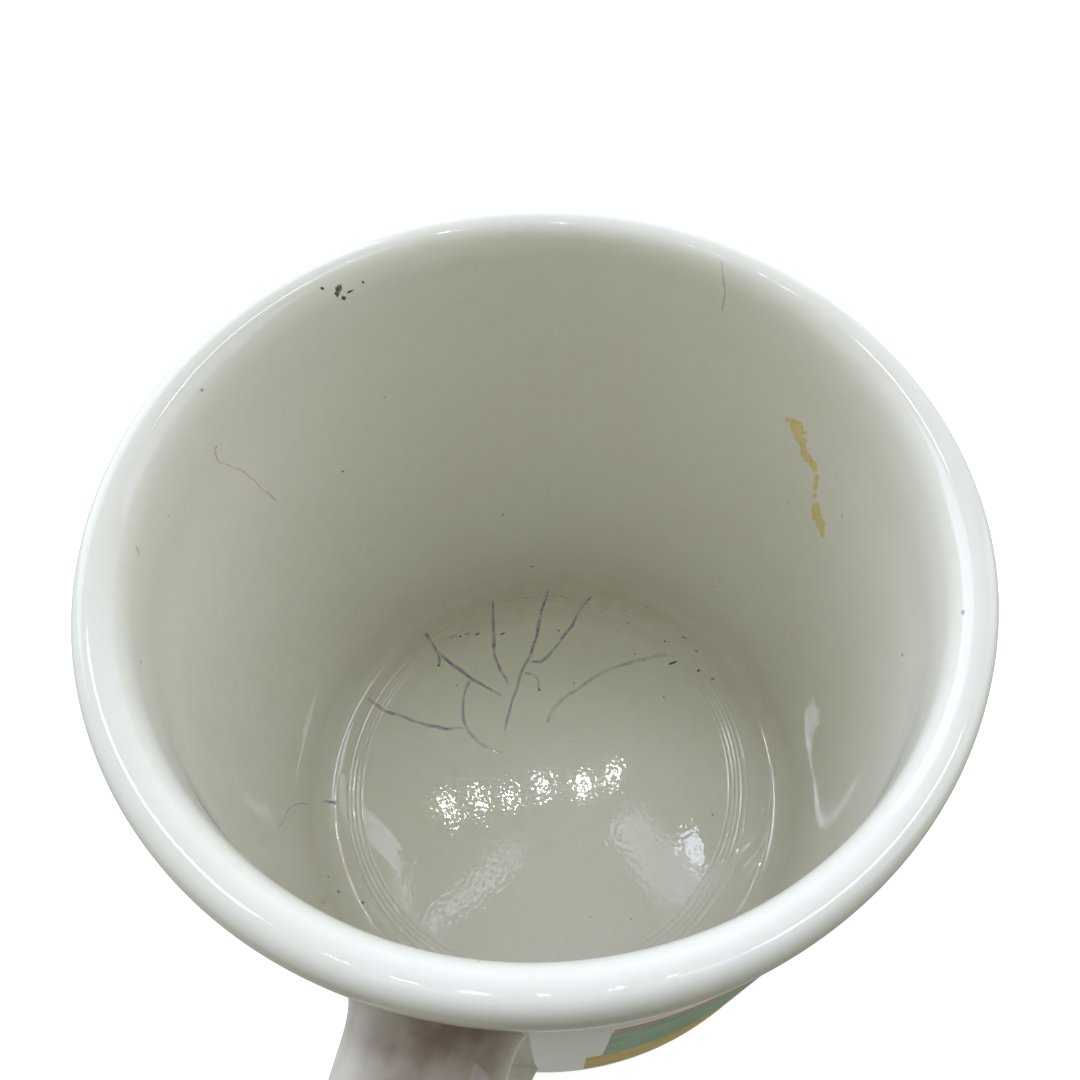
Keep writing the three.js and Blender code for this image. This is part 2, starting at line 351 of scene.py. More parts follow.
class Shader:
    """Short names for the nodes that a finish is made of."""

    def __init__(self, name):
        self.material = bpy.data.materials.new(name)
        self.material.use_nodes = True
        self.tree = self.material.node_tree
        self.surface = self.tree.nodes["Principled BSDF"]
        self.place = self.tree.nodes.new("ShaderNodeTexCoord").outputs["Object"]

    def put(self, socket, value):
        if isinstance(value, bpy.types.NodeSocket):
            self.tree.links.new(value, socket)
        elif isinstance(value, tuple) and len(value) == 3 and socket.type == "RGBA":
            socket.default_value = (*value, 1)
        else:
            socket.default_value = value

    def noise(self, size, detail=2.0, roughness=0.5, distortion=0.0, stretch=(1, 1, 1)):
        """Cloudy noise whose lumps are about size mm across."""
        place = self.place
        if stretch != (1, 1, 1):
            mapping = self.tree.nodes.new("ShaderNodeMapping")
            self.put(mapping.inputs["Vector"], self.place)
            mapping.inputs["Scale"].default_value = stretch
            place = mapping.outputs["Vector"]
        node = self.tree.nodes.new("ShaderNodeTexNoise")
        self.put(node.inputs["Vector"], place)
        node.inputs["Scale"].default_value = 1 / (size * MM)
        node.inputs["Detail"].default_value = detail
        node.inputs["Roughness"].default_value = roughness
        node.inputs["Distortion"].default_value = distortion
        return node.outputs["Fac"]

    def cells(self, size):
        """Distance from the middle of the nearest of many cells about size mm across."""
        node = self.tree.nodes.new("ShaderNodeTexVoronoi")
        self.put(node.inputs["Vector"], self.place)
        node.inputs["Scale"].default_value = 1 / (size * MM)
        return node.outputs["Distance"]

    def ramp(self, value, low, high, start=0.0, end=1.0):
        node = self.tree.nodes.new("ShaderNodeMapRange")
        node.interpolation_type = "SMOOTHSTEP"
        self.put(node.inputs["Value"], value)
        node.inputs["From Min"].default_value = low
        node.inputs["From Max"].default_value = high
        node.inputs["To Min"].default_value = start
        node.inputs["To Max"].default_value = end
        return node.outputs["Result"]

    def maths(self, kind, a, b=0.0, clamp=False):
        node = self.tree.nodes.new("ShaderNodeMath")
        node.operation = kind
        node.use_clamp = clamp
        self.put(node.inputs[0], a)
        self.put(node.inputs[1], b)
        return node.outputs[0]

    def mix(self, share, a, b):
        node = self.tree.nodes.new("ShaderNodeMix")
        node.data_type = "RGBA"
        colours = [s for s in node.inputs if s.type == "RGBA"]
        self.put(node.inputs[0], share)
        self.put(colours[0], a)
        self.put(colours[1], b)
        return [s for s in node.outputs if s.type == "RGBA"][0]

    def tag(self, name, kind="Fac"):
        node = self.tree.nodes.new("ShaderNodeAttribute")
        node.attribute_name = name
        return node.outputs[kind]

    def bump(self, height, depth_mm, under=None):
        node = self.tree.nodes.new("ShaderNodeBump")
        node.inputs["Strength"].default_value = 1.0
        node.inputs["Distance"].default_value = depth_mm * MM
        self.put(node.inputs["Height"], height)
        if under is not None:
            self.put(node.inputs["Normal"], under)
        return node.outputs["Normal"]

    def finish(self, colour, roughness, normal, ior=1.5):
        self.put(self.surface.inputs["Base Color"], colour)
        self.put(self.surface.inputs["Roughness"], roughness)
        self.put(self.surface.inputs["Normal"], normal)
        self.surface.inputs["IOR"].default_value = ior
        return self.material


GLAZE_WARM = rgb(240, 237, 222)
GLAZE_COOL = rgb(241, 239, 226)
GLAZE_POOL = rgb(233, 229, 211)
# Stain and painted shade at the back of the floor's edge.
SOILED_AND_SHADED_GLAZE = rgb(208, 199, 170)
# Painted shade: grey for the outer wall below the neck, darker than the glaze inside.
OUTER_WALL_PAINTED_SHADE = rgb(192, 192, 179)
# Used for the thin glaze under the lip, and for painted shade and dirt on the handle and its fillets.
THIN_GLAZE_AND_SHADE = rgb(150, 122, 108)
BARE_CLAY = rgb(214, 202, 178)
IRON_SPECK = rgb(120, 96, 74)


def glaze_ground(s):
    """Broad clouds of two whites with a fine mottle over them."""
    colour = s.mix(s.ramp(s.noise(28, 3), 0.35, 0.65), GLAZE_WARM, GLAZE_COOL)
    return s.mix(s.ramp(s.noise(2.2, 4, 0.6), 0.42, 0.75, 0.0, 0.3), colour, GLAZE_POOL)


def thinned_and_shaded(s, colour):
    """The colour with the clay showing through where the glaze is tagged thin, and with painted shade
    and dirt where the handle and its fillets are so tagged.
    """
    thin = s.maths("MULTIPLY", s.tag("thin"), s.ramp(s.noise(3.5, 3), 0.25, 0.7, 0.55, 1.0))
    return s.mix(thin, colour, THIN_GLAZE_AND_SHADE)


def glaze(name, marks=False):
    """Glossy glaze, pooled, stained, thin or bare as tagged, with painted shade on the outer wall, at
    the back of the floor and under the lip; marks adds the marks of use.
    """
    s = Shader(name)
    colour = glaze_ground(s)
    pooled = s.maths("MULTIPLY", s.tag("pool"), s.ramp(s.noise(3, 3), 0.3, 0.7, 0.5, 1.0))
    colour = s.mix(pooled, colour, GLAZE_POOL)
    # Stain and painted shade at the back of the floor's edge.
    soil_and_shade = s.maths("MULTIPLY", s.tag("soil_and_shade"), s.ramp(s.noise(4, 4, 0.6), 0.3, 0.65, 0.3, 1.0))
    colour = s.mix(soil_and_shade, colour, SOILED_AND_SHADED_GLAZE)
    # Painted shade: grey on the outer wall below the neck.
    colour = s.mix(s.tag("outer"), colour, OUTER_WALL_PAINTED_SHADE)
    specks = s.ramp(s.cells(4.5), 0.055, 0.02)
    chosen = s.ramp(s.noise(6, 1), 0.6, 0.66)
    specks = s.maths("MULTIPLY", specks, chosen)
    colour = s.mix(s.maths("MULTIPLY", specks, 0.6), colour, IRON_SPECK)
    colour = thinned_and_shaded(s, colour)
    bare = s.tag("bare")
    clay = s.mix(s.ramp(s.noise(0.5, 4, 0.7), 0.35, 0.7), BARE_CLAY, rgb(190, 176, 150))
    colour = s.mix(bare, colour, clay)
    rough = s.ramp(s.noise(9, 4), 0.3, 0.7, 0.025, 0.045)
    rough = s.maths("ADD", rough, s.maths("MULTIPLY", bare, 0.65))
    if marks:
        mark = s.tag("mark")
        grain = s.ramp(s.noise(0.35, 3, 0.7), 0.3, 0.7, 0.72, 1.15)
        mark = s.maths("MULTIPLY", mark, grain, clamp=True)
        colour = s.mix(mark, colour, s.tag("mark_colour", "Color"))
        rough = s.maths("ADD", rough, s.maths("MULTIPLY", mark, s.tag("mark_rough")))
    peel = s.bump(s.noise(2.6, 2), 0.007)
    pits = s.maths("ADD", s.maths("MULTIPLY", s.tag("pitting"), 0.85), 0.15)
    normal = s.bump(s.maths("MULTIPLY", pits, s.noise(0.7, 0)), 0.008, peel)
    clay_grain = s.maths("MULTIPLY", bare, s.noise(0.3, 4, 0.7))
    normal = s.bump(clay_grain, 0.05, normal)
    return s.finish(colour, rough, normal)


def slip():
    """The glaze over the joints, darkened towards the wall with dirt and painted shade."""
    s = Shader("joint slip glaze")
    colour = thinned_and_shaded(s, glaze_ground(s))
    # Dirt and painted shade, darker towards the wall.
    dirt = s.maths("MULTIPLY", s.tag("pool"), s.ramp(s.noise(2.5, 4, 0.6), 0.35, 0.7))
    colour = s.mix(s.maths("MULTIPLY", dirt, 0.4), colour, THIN_GLAZE_AND_SHADE)
    rough = s.ramp(s.noise(9, 4), 0.3, 0.7, 0.03, 0.06)
    normal = s.bump(s.noise(0.7, 0), 0.003, s.bump(s.noise(2.6, 2), 0.009))
    return s.finish(colour, rough, normal)


def enamel(name, main, deep, pale, dot=0.35):
    """Fired transfer colour: small print dots, soft clouds and worn pin holes."""
    s = Shader(name)
    clouds = s.ramp(s.noise(9, 4, 0.55), 0.34, 0.66)
    colour = s.mix(clouds, deep, main)
    colour = s.mix(s.ramp(s.noise(4, 3), 0.5, 0.8, 0.0, 0.6), colour, pale)
    dots = s.ramp(s.cells(dot), 0.35, 0.15, 0.0, 0.22)
    colour = s.mix(dots, colour, deep)
    wear = s.maths("MULTIPLY", s.ramp(s.noise(0.6, 4, 0.7), 0.66, 0.74), s.tag("edge"))
    colour = s.mix(wear, colour, GLAZE_COOL)
    rough = s.ramp(s.noise(5, 4), 0.3, 0.7, 0.3, 0.42)
    normal = s.bump(s.cells(dot), 0.002, s.bump(s.noise(2.6, 2), 0.006))
    return s.finish(colour, rough, normal, 1.3)


GLAZE = glaze("stoneware glaze")
MARKED_GLAZE = glaze("stoneware glaze with marks", marks=True)
SLIP = slip()
GREEN = enamel("green enamel", rgb(148, 196, 158), rgb(134, 182, 138), rgb(160, 206, 174))
PINK = enamel("pink enamel", rgb(216, 178, 160), rgb(204, 162, 144), rgb(224, 194, 178))
OCHRE = enamel("ochre enamel", rgb(234, 204, 84), rgb(224, 188, 64), rgb(240, 214, 112))


# ---- cup
def build_cup():
    """The cup's whole surface as one closed mesh, tagged where the glaze changes and where shade is
    painted.
    """
    turns = np.linspace(0, 2 * math.pi, TURN_STEPS, endpoint=False)
    rows = ALONG[1:-1]
    body = cup_point(rows[:, None], turns[None, :]).reshape(-1, 3)
    bottom = cup_point(ALONG[0], 0.0)[None]
    top = cup_point(ALONG[-1], 0.0)[None]
    points = np.concatenate([body, bottom, top])
    faces = ring_faces(len(rows), TURN_STEPS)
    low, high = len(body), len(body) + 1
    last = (len(rows) - 1) * TURN_STEPS
    for j in range(TURN_STEPS):
        k = (j + 1) % TURN_STEPS
        faces.append((low, k, j))
        faces.append((high, last + j, last + k))
    radius = OUTLINE[1:-1, 0]
    height = OUTLINE[1:-1, 1]
    outside = rows < ALONG[CROWN]
    inside = ~outside
    past_recess = smooth(RECESS_RADIUS, RECESS_RADIUS + 2, radius)
    bare = np.where(outside, smooth(0.55, 0.15, height) * past_recess, 0)
    thin_band = smooth(*THIN_BAND_FOOT, height) * smooth(*THIN_BAND_TOP, height)
    thin = np.where(outside, thin_band, 0) * THIN_BAND_SHARE
    pool = np.where(inside, bump_at(radius, FLOOR_RADIUS + 1, 2.2) * smooth(16, 9, height), 0)
    pitting = np.where(inside, smooth(12, 9, height), 0.15)
    # Painted shade on the outer wall below the neck, not over the lip.
    outer = np.where(outside, smooth(77, 73, height), 0)
    by_row = {"bare": bare, "thin": thin, "pool": pool, "pitting": pitting, "outer": outer}
    tags = {}
    for tag, values in by_row.items():
        tags[tag] = np.concatenate([np.repeat(values, TURN_STEPS), [values[0], values[-1]]])
    # Stain and painted shade, darkest at the back of the floor's edge.
    floor_edge = np.where(inside, smooth(27, 30, radius) * smooth(11, 9, height), 0)
    at_back = np.clip(-np.cos(turns + SOIL_AND_SHADE_TURN), 0, 1) ** 2
    tags["soil_and_shade"] = np.concatenate([SOIL_AND_SHADE_SHARE * np.outer(floor_edge, at_back).ravel(), [0, 0]])
    return make_piece("cup", points, faces, GLAZE, ["cup_body"], tags)


# ---- handle and its fillets
def strap_section(half_width, half_thickness, count=48):
    """Squarish oval, width across X first and thickness second."""
    k = STRAP_SQUARENESS
    a, b = half_width, half_thickness
    corners = [((a, 0), (a, k * b), (k * a, b), (0, b)),
               ((0, b), (-k * a, b), (-a, k * b), (-a, 0)),
               ((-a, 0), (-a, -k * b), (-k * a, -b), (0, -b)),
               ((0, -b), (k * a, -b), (a, -k * b), (a, 0))]
    dense = []
    for corner in corners:
        controls = [np.array(p, float) for p in corner]
        for share in np.linspace(0, 1, 60, endpoint=False):
            dense.append(curve_point(controls, share))
    dense = np.array(dense + [dense[0]])
    run = distances(dense)
    picks = np.linspace(0, run[-1], count, endpoint=False)
    return np.stack([np.interp(picks, run, dense[:, 0]), np.interp(picks, run, dense[:, 1])], axis=1)


SECTION = strap_section(STRAP_HALF_WIDTH, STRAP_HALF_THICKNESS)


def wall_reach(x, height):
    """How far the outer wall stands from the axis, along -Y, at a sideways place and a height."""
    along = outer_along(np.clip(height, FOOT_HEIGHT, LIP_WIDEST_HEIGHT))
    radius = np.interp(along, ALONG, OUTLINE[:, 0])
    turn = np.arcsin(np.clip(x / radius, -1, 1))
    radius = radius + swell(along, turn)
    return np.sqrt(np.maximum(radius ** 2 - x ** 2, 0))


def joint_ring(arm_height, share):
    """Ring of the fillet: share 0 meets the handle, 1 lies down on the wall."""
    angle = share * math.pi / 2
    spread = JOINT_FLARE * (1 - math.cos(angle))
    off = JOINT_THICKNESS * (1 - math.sin(angle))
    grow = 1 + spread / np.array([STRAP_HALF_WIDTH, STRAP_HALF_THICKNESS])
    x = SECTION[:, 0] * grow[0]
    z = arm_height + SECTION[:, 1] * grow[1]
    sink = JOINT_SINK * smooth(0.8, 1.0, share)
    reach = wall_reach(x, z) + off - sink
    return np.stack([AXIS[0] + x, AXIS[1] - reach, z], axis=1)


def lip_shade_and_dirt(points):
    """Painted shade and dirt in the corner between the lip and the top of the handle, strongest on the
    middle of the top, from 0 to 1.
    """
    reach = AXIS[1] - points[:, 1]
    near_wall = smooth(HANDLE_SHADE_END, NECK_RADIUS + 3, reach)
    arm_top = UPPER_ARM_HEIGHT + STRAP_HALF_THICKNESS * 0.8
    facing_up = smooth(UPPER_ARM_HEIGHT, arm_top, points[:, 2])
    off_middle = np.abs(points[:, 0] - AXIS[0] - HANDLE_SHADE_MIDDLE)
    in_middle = smooth(STRAP_HALF_WIDTH, STRAP_HALF_WIDTH * 0.5, off_middle)
    return near_wall * lerp(0.3, 0.88, facing_up) * lerp(0.4, 1, in_middle)


def build_joint(name, arm_height, node):
    shares = np.linspace(0, 1, JOINT_RINGS)
    points, faces = capped_tube([joint_ring(arm_height, share) for share in shares])
    pool = np.concatenate([np.repeat(shares, len(SECTION)), [0, 1]])
    # The thin tag here carries painted shade and dirt under the lip.
    tags = {"pool": pool, "thin": lip_shade_and_dirt(points)}
    return make_piece(name, points, faces, SLIP, [node], tags, 60)


def handle_path():
    """Reach and height of the strap's middle, from the upper arm round to the lower one."""
    curve_out = lerp(ARM_STRAIGHT_END, GRIP_REACH, UPPER_BEND)
    line = Outline((ARM_STRAIGHT_END, UPPER_ARM_HEIGHT))
    line.run([(curve_out, UPPER_ARM_HEIGHT),
              (GRIP_REACH, lerp(GRIP_HEIGHT, UPPER_ARM_HEIGHT, UPPER_BEND)),
              (GRIP_REACH, GRIP_HEIGHT)], 0.6)
    line.run([(GRIP_REACH, lerp(GRIP_HEIGHT, LOWER_ARM_HEIGHT, LOWER_BEND)),
              (curve_out, LOWER_ARM_HEIGHT),
              (ARM_STRAIGHT_END, LOWER_ARM_HEIGHT)], 0.6)
    return np.array(line.points)


def build_handle():
    """The strap, swept round its path, with each end led on to a fillet's first ring."""
    path = handle_path()
    tangent = np.gradient(path, axis=0)
    tangent /= np.linalg.norm(tangent, axis=1)[:, None]
    run = distances(path)
    phases = RNG.uniform(0, 2 * math.pi, 4)
    upper = joint_ring(UPPER_ARM_HEIGHT, 0)
    lower = joint_ring(LOWER_ARM_HEIGHT, 0)
    rings = []
    for i, (reach, height) in enumerate(path):
        out = np.array([-tangent[i, 1], tangent[i, 0]])
        middle = math.sin(math.pi * run[i] / run[-1])
        wobble = 0.08 * math.sin(run[i] / 9 + phases[0]) + 0.05 * math.sin(run[i] / 4 + phases[1])
        width = 1 + middle * (wobble - 0.02) / 2
        thick = 1 + middle * 0.05 * math.sin(run[i] / 13 + phases[2])
        x = SECTION[:, 0] * width
        depth = SECTION[:, 1] * thick
        rings.append(np.stack([AXIS[0] + x, AXIS[1] - (reach + out[0] * depth),
                               height + out[1] * depth], axis=1))
    rings = [lerp(upper, rings[0], share) for share in np.linspace(0, 1, 7)[:-1]] + rings
    ending = rings[-1]
    nearest = [np.argmin(np.linalg.norm(lower[:, [0, 2]] - p[[0, 2]], axis=1)) for p in ending]
    lower = lower[nearest]
    rings = rings + [lerp(ending, lower, share) for share in np.linspace(0, 1, 7)[1:]]
    points, faces = capped_tube(rings)
    # The thin tag here carries painted shade and dirt under the lip.
    tags = {"pitting": np.full(len(points), 0.1), "thin": lip_shade_and_dirt(points)}
    return make_piece("handle_strap", points, faces, GLAZE, ["handle"], tags, 60)


# ---- transfers
def shell(face, back):
    """Points and faces of the closed sheet between two equal grids."""
    rows, columns = face.shape[:2]
    count = rows * columns
    points = np.concatenate([face.reshape(-1, 3), back.reshape(-1, 3)])
    front = ring_faces(rows, columns, closed=False)
    faces = front + [tuple(count + i for i in reversed(f)) for f in front]
    rim = [(0, j) for j in range(columns - 1)]
    rim += [(i, columns - 1) for i in range(rows - 1)]
    rim += [(rows - 1, j) for j in range(columns - 1, 0, -1)]
    rim += [(i, 0) for i in range(rows - 1, 0, -1)]
    for (i, j), (m, n) in zip(rim, rim[1:] + rim[:1]):
        a, b = i * columns + j, m * columns + n
        faces.append((b, a, count + a, count + b))
    return points, faces


def build_print(name, node, material, plain_angle, ragged=0.04):
    """One colour of transfer: a thin closed band on the wall, open behind the handle."""
    low, high = box_mm(node)
    rows = max(5, int((high[2] - low[2]) / 1.2))
    columns = int(math.radians(360 - 2 * plain_angle) * WALL_LOW_RADIUS / 1.1)
    turns = np.radians(np.linspace(plain_angle, 360 - plain_angle, columns))
    turn = np.repeat(turns[None, :], rows, axis=0)
    height = np.repeat(np.linspace(low[2], high[2], rows)[:, None], columns, axis=1)
    height[0] += RNG.normal(0, ragged, columns)
    height[-1] += RNG.normal(0, ragged, columns)
    end_wander = RNG.normal(0, ragged, (rows, 2)) / WALL_LOW_RADIUS
    turn[:, 0] += end_wander[:, 0]
    turn[:, -1] += end_wander[:, 1]
    edge = np.zeros((rows, columns))
    edge[0] = edge[-1] = 1
    edge[:, 0] = edge[:, -1] = 1
    along = outer_along(height)
    face = cup_point(along, turn, PRINT_LIFT * (1 - 0.6 * edge))
    back = cup_point(along, turn, PRINT_ROOT)
    points, faces = shell(face, back)
    tags = {"edge": np.concatenate([edge.ravel(), np.zeros(edge.size)])}
    return make_piece(name, points, faces, material, [node], tags, 60)


def build_prints():
    build_print("ochre_print", "ochre_transfer", OCHRE, OCHRE_HALF_ANGLE)
    build_print("green_print", "green_transfer", GREEN, PLAIN_HALF_ANGLE)
    build_print("pink_print", "pink_transfer", PINK, PLAIN_HALF_ANGLE)


# ---- marks of use
INK = rgb(112, 122, 148)
INK_FAINT = rgb(134, 142, 154)
DRIED = rgb(232, 204, 112)
DIRT = rgb(52, 44, 34)
RUST = rgb(120, 84, 52)
ROSE = rgb(190, 120, 120)


def on_floor(x, y):
    """Outline distance and turn of a place on the floor, in mm from the axis."""
    return float(floor_along(math.hypot(x, y))), math.atan2(x, -y)


def on_wall(turn_degrees, height):
    """Outline distance and turn of a place on the inner wall."""
    return float(inner_along(height)), math.radians(turn_degrees)


def mark_tags(weight, colour, rough, pitting=0.6):
    """Tags of a mark: how strongly it shows, its colour and how much rougher it is."""
    count = len(weight)
    return {"mark": weight, "mark_colour": np.repeat(np.array(colour)[None], count, 0),
            "mark_rough": np.full(count, rough), "pitting": np.full(count, pitting)}


def join(parts):
    """Points, faces and tags of several meshes put together as one."""
    points, faces, tags, base = [], [], {}, 0
    for part_points, part_faces, part_tags in parts:
        points.append(part_points)
        faces += [tuple(base + i for i in f) for f in part_faces]
        for tag, values in part_tags.items():
            tags.setdefault(tag, []).append(values)
        base += len(part_points)
    return np.concatenate(points), faces, {t: np.concatenate(v) for t, v in tags.items()}


def stroke(places, half_width, colour, strength=1.0, wander=0.12, step=0.18, fade=(0.03, 0.05)):
    """A thin closed ribbon lying on the inner surface through (outline distance, turn) places."""
    places = np.array(places, float)
    flat = np.stack([cup_point(a, t) for a, t in places])
    run = distances(flat)
    count = max(8, int(run[-1] / step))
    pick = np.linspace(0, run[-1], count)
    along = np.interp(pick, run, places[:, 0])
    turn = np.interp(pick, run, np.unwrap(places[:, 1]))
    radius = np.interp(along, ALONG, OUTLINE[:, 0])
    kernel = np.hanning(max(5, int(1.6 / step) | 1))
    kernel /= kernel.sum()
    pad = len(kernel) // 2

    def blur(values):
        start = 2 * values[0] - values[1:pad + 1][::-1]
        end = 2 * values[-1] - values[-pad - 1:-1][::-1]
        return np.convolve(np.concatenate([start, values, end]), kernel, "valid")

    if count > 2 * pad + 2:
        along, turn = blur(along), blur(turn)
    drift = np.convolve(RNG.normal(0, 1, count + 24), np.hanning(25), "valid")[:count]
    drift *= wander / max(np.abs(drift).max(), 1e-6)
    uneven = np.convolve(RNG.normal(0, 1, count + 8), np.ones(9) / 3, "valid")[:count]
    width = half_width * (1 + 0.14 * uneven)
    width = np.clip(width, 0.75 * half_width, 1.35 * half_width)
    length = np.linspace(0, 1, count)
    taper = smooth(0, fade[0], length) * smooth(1, 1 - fade[1], length)
    width *= lerp(0.5, 1.0, taper)
    d_along = np.gradient(along)
    d_turn = np.gradient(turn) * radius
    norm = np.hypot(d_along, d_turn) + 1e-9
    side_along, side_turn = -d_turn / norm, d_along / norm
    across = np.array([-1.0, -0.5, 0.0, 0.5, 1.0, 0.0])
    lifts = np.array([-0.02, 0.008, 0.010, 0.008, -0.02, -0.09])
    weights = np.array([0.0, 0.7, 0.95, 0.7, 0.0, 0.0])
    rings = []
    for c, lift in zip(across, lifts):
        offset = drift + c * width
        rings.append(cup_point(along + side_along * offset,
                               turn + side_turn * offset / np.maximum(radius, 1), lift))
    rings = np.stack(rings, axis=1)
    points, faces = capped_tube(rings)
    beads = 0.8 + 0.16 * np.convolve(RNG.normal(0, 1, count + 6), np.ones(7) / 2, "valid")[:count]
    ink = np.clip(beads, 0.5, 1.15) * taper * strength
    weight = np.concatenate([(ink[:, None] * weights[None]).ravel(), [0, 0]])
    return points, faces, mark_tags(weight, colour, 0.05)


def fleck(place, long, short, twist, colour, strength=1.0, rise=0.04, rough=0.25):
    """A small closed crumb or spot with an uneven edge."""
    along, turn = place
    radius = max(float(np.interp(along, ALONG, OUTLINE[:, 0])), 1.0)
    sides = 14
    angle = np.linspace(0, 2 * math.pi, sides, endpoint=False)
    uneven = 1 + 0.22 * RNG.normal(0, 1, sides)
    rings = []
    for share, lift in ((1.0, -0.02), (0.72, rise * 0.6), (0.35, rise)):
        u = long * np.cos(angle) * share * uneven
        v = short * np.sin(angle) * share * uneven
        du = u * math.cos(twist) - v * math.sin(twist)
        dv = u * math.sin(twist) + v * math.cos(twist)
        rings.append(cup_point(along + dv, turn + du / radius, lift))
    points, faces = capped_tube(rings)
    weight = np.concatenate([np.zeros(sides), np.full(sides, 0.85), np.ones(sides), [0, 1]])
    return points, faces, mark_tags(weight * strength, colour, rough)


# The places of the marks below were measured on the photo through the fitted camera. Routes and
# spots on the floor are (x, y) from the cup's axis; those on the wall are (turn in degrees, height).
CRAZE_WIDENING = 1.8
CRAZE_STRENGTH = 0.85


def build_craze():
    """Ink-stained craze lines in the floor glaze, most of them from its edge, and hairlines."""
    parts = []
    floor_lines = [
        ([(-29, 20.5), (-25.5, 17), (-22, 15.2), (-18.3, 13.4), (-15.5, 12.4), (-12, 11.4)], 0.26, 1.0),
        ([(-18.8, 29), (-17.2, 24), (-15.6, 18.7), (-13.8, 15.8), (-11.6, 13.7)], 0.24, 1.0),
        ([(-9.8, 34.6), (-9.6, 27.2), (-9.4, 23), (-9.6, 19.5), (-10.2, 13.2), (-10.2, 9), (-10, 5)],
         0.24, 1.0),
        ([(-1.5, 34), (-3.2, 30.5), (-3.8, 27), (-5.2, 23.6), (-6.2, 20.8), (-7.4, 19), (-9.5, 18.6)],
         0.25, 0.9),
        ([(-34.5, 6.6), (-31, 4.9), (-26.5, 4.2), (-22.8, 3.8), (-19.5, 3.8), (-16.8, 4.7)], 0.22, 0.9),
        ([(-18.3, 13.4), (-18.4, 9.3), (-17.4, 6), (-16.1, 4.2), (-13.6, 2.6), (-11.2, 1.9),
          (-9.2, 1.9)], 0.22, 0.75),
        ([(14, 25.4), (9.7, 23.4), (6.8, 21.9), (4.4, 20.2), (2.2, 18.2), (0, 15.5), (-2.5, 12.4),
          (-3.4, 10.7), (-3.5, 7.8)], 0.26, 0.6),
        ([(-25.2, 16.8), (-24.6, 15.6), (-24.4, 14.6)], 0.26, 0.9),
        ([(-9.7, 16.4), (-8.2, 16.6), (-6.9, 15.4), (-6.4, 14)], 0.2, 0.55),
    ]
    for route, half_width, strength in floor_lines:
        places = [on_floor(x, y) for x, y in route]
        parts.append(stroke(places, CRAZE_WIDENING * half_width, INK, CRAZE_STRENGTH * strength))
    wall_lines = [
        ([(-53.5, 37), (-57.5, 31), (-62, 27), (-66.5, 19.5), (-69, 13)], 0.16, INK_FAINT, 0.7),
        ([(-98, 79), (-97.7, 76.5), (-101.4, 71.5), (-105, 62)], 0.16, ROSE, 0.55),
        ([(164.6, 86.7), (163.4, 85.6), (162.2, 84), (162, 81)], 0.14, INK_FAINT, 0.7),
    ]
    for route, half_width, colour, strength in wall_lines:
        parts.append(stroke([on_wall(t, h) for t, h in route], half_width, colour, strength))
    parts.append(stroke([on_wall(-71.3, 8.9), on_floor(-33.0, -11.5)], 0.34, INK, 1.0, 0.03))
    points, faces, tags = join(parts)
    return make_piece("craze_lines", points, faces, MARKED_GLAZE, (), tags, 180)


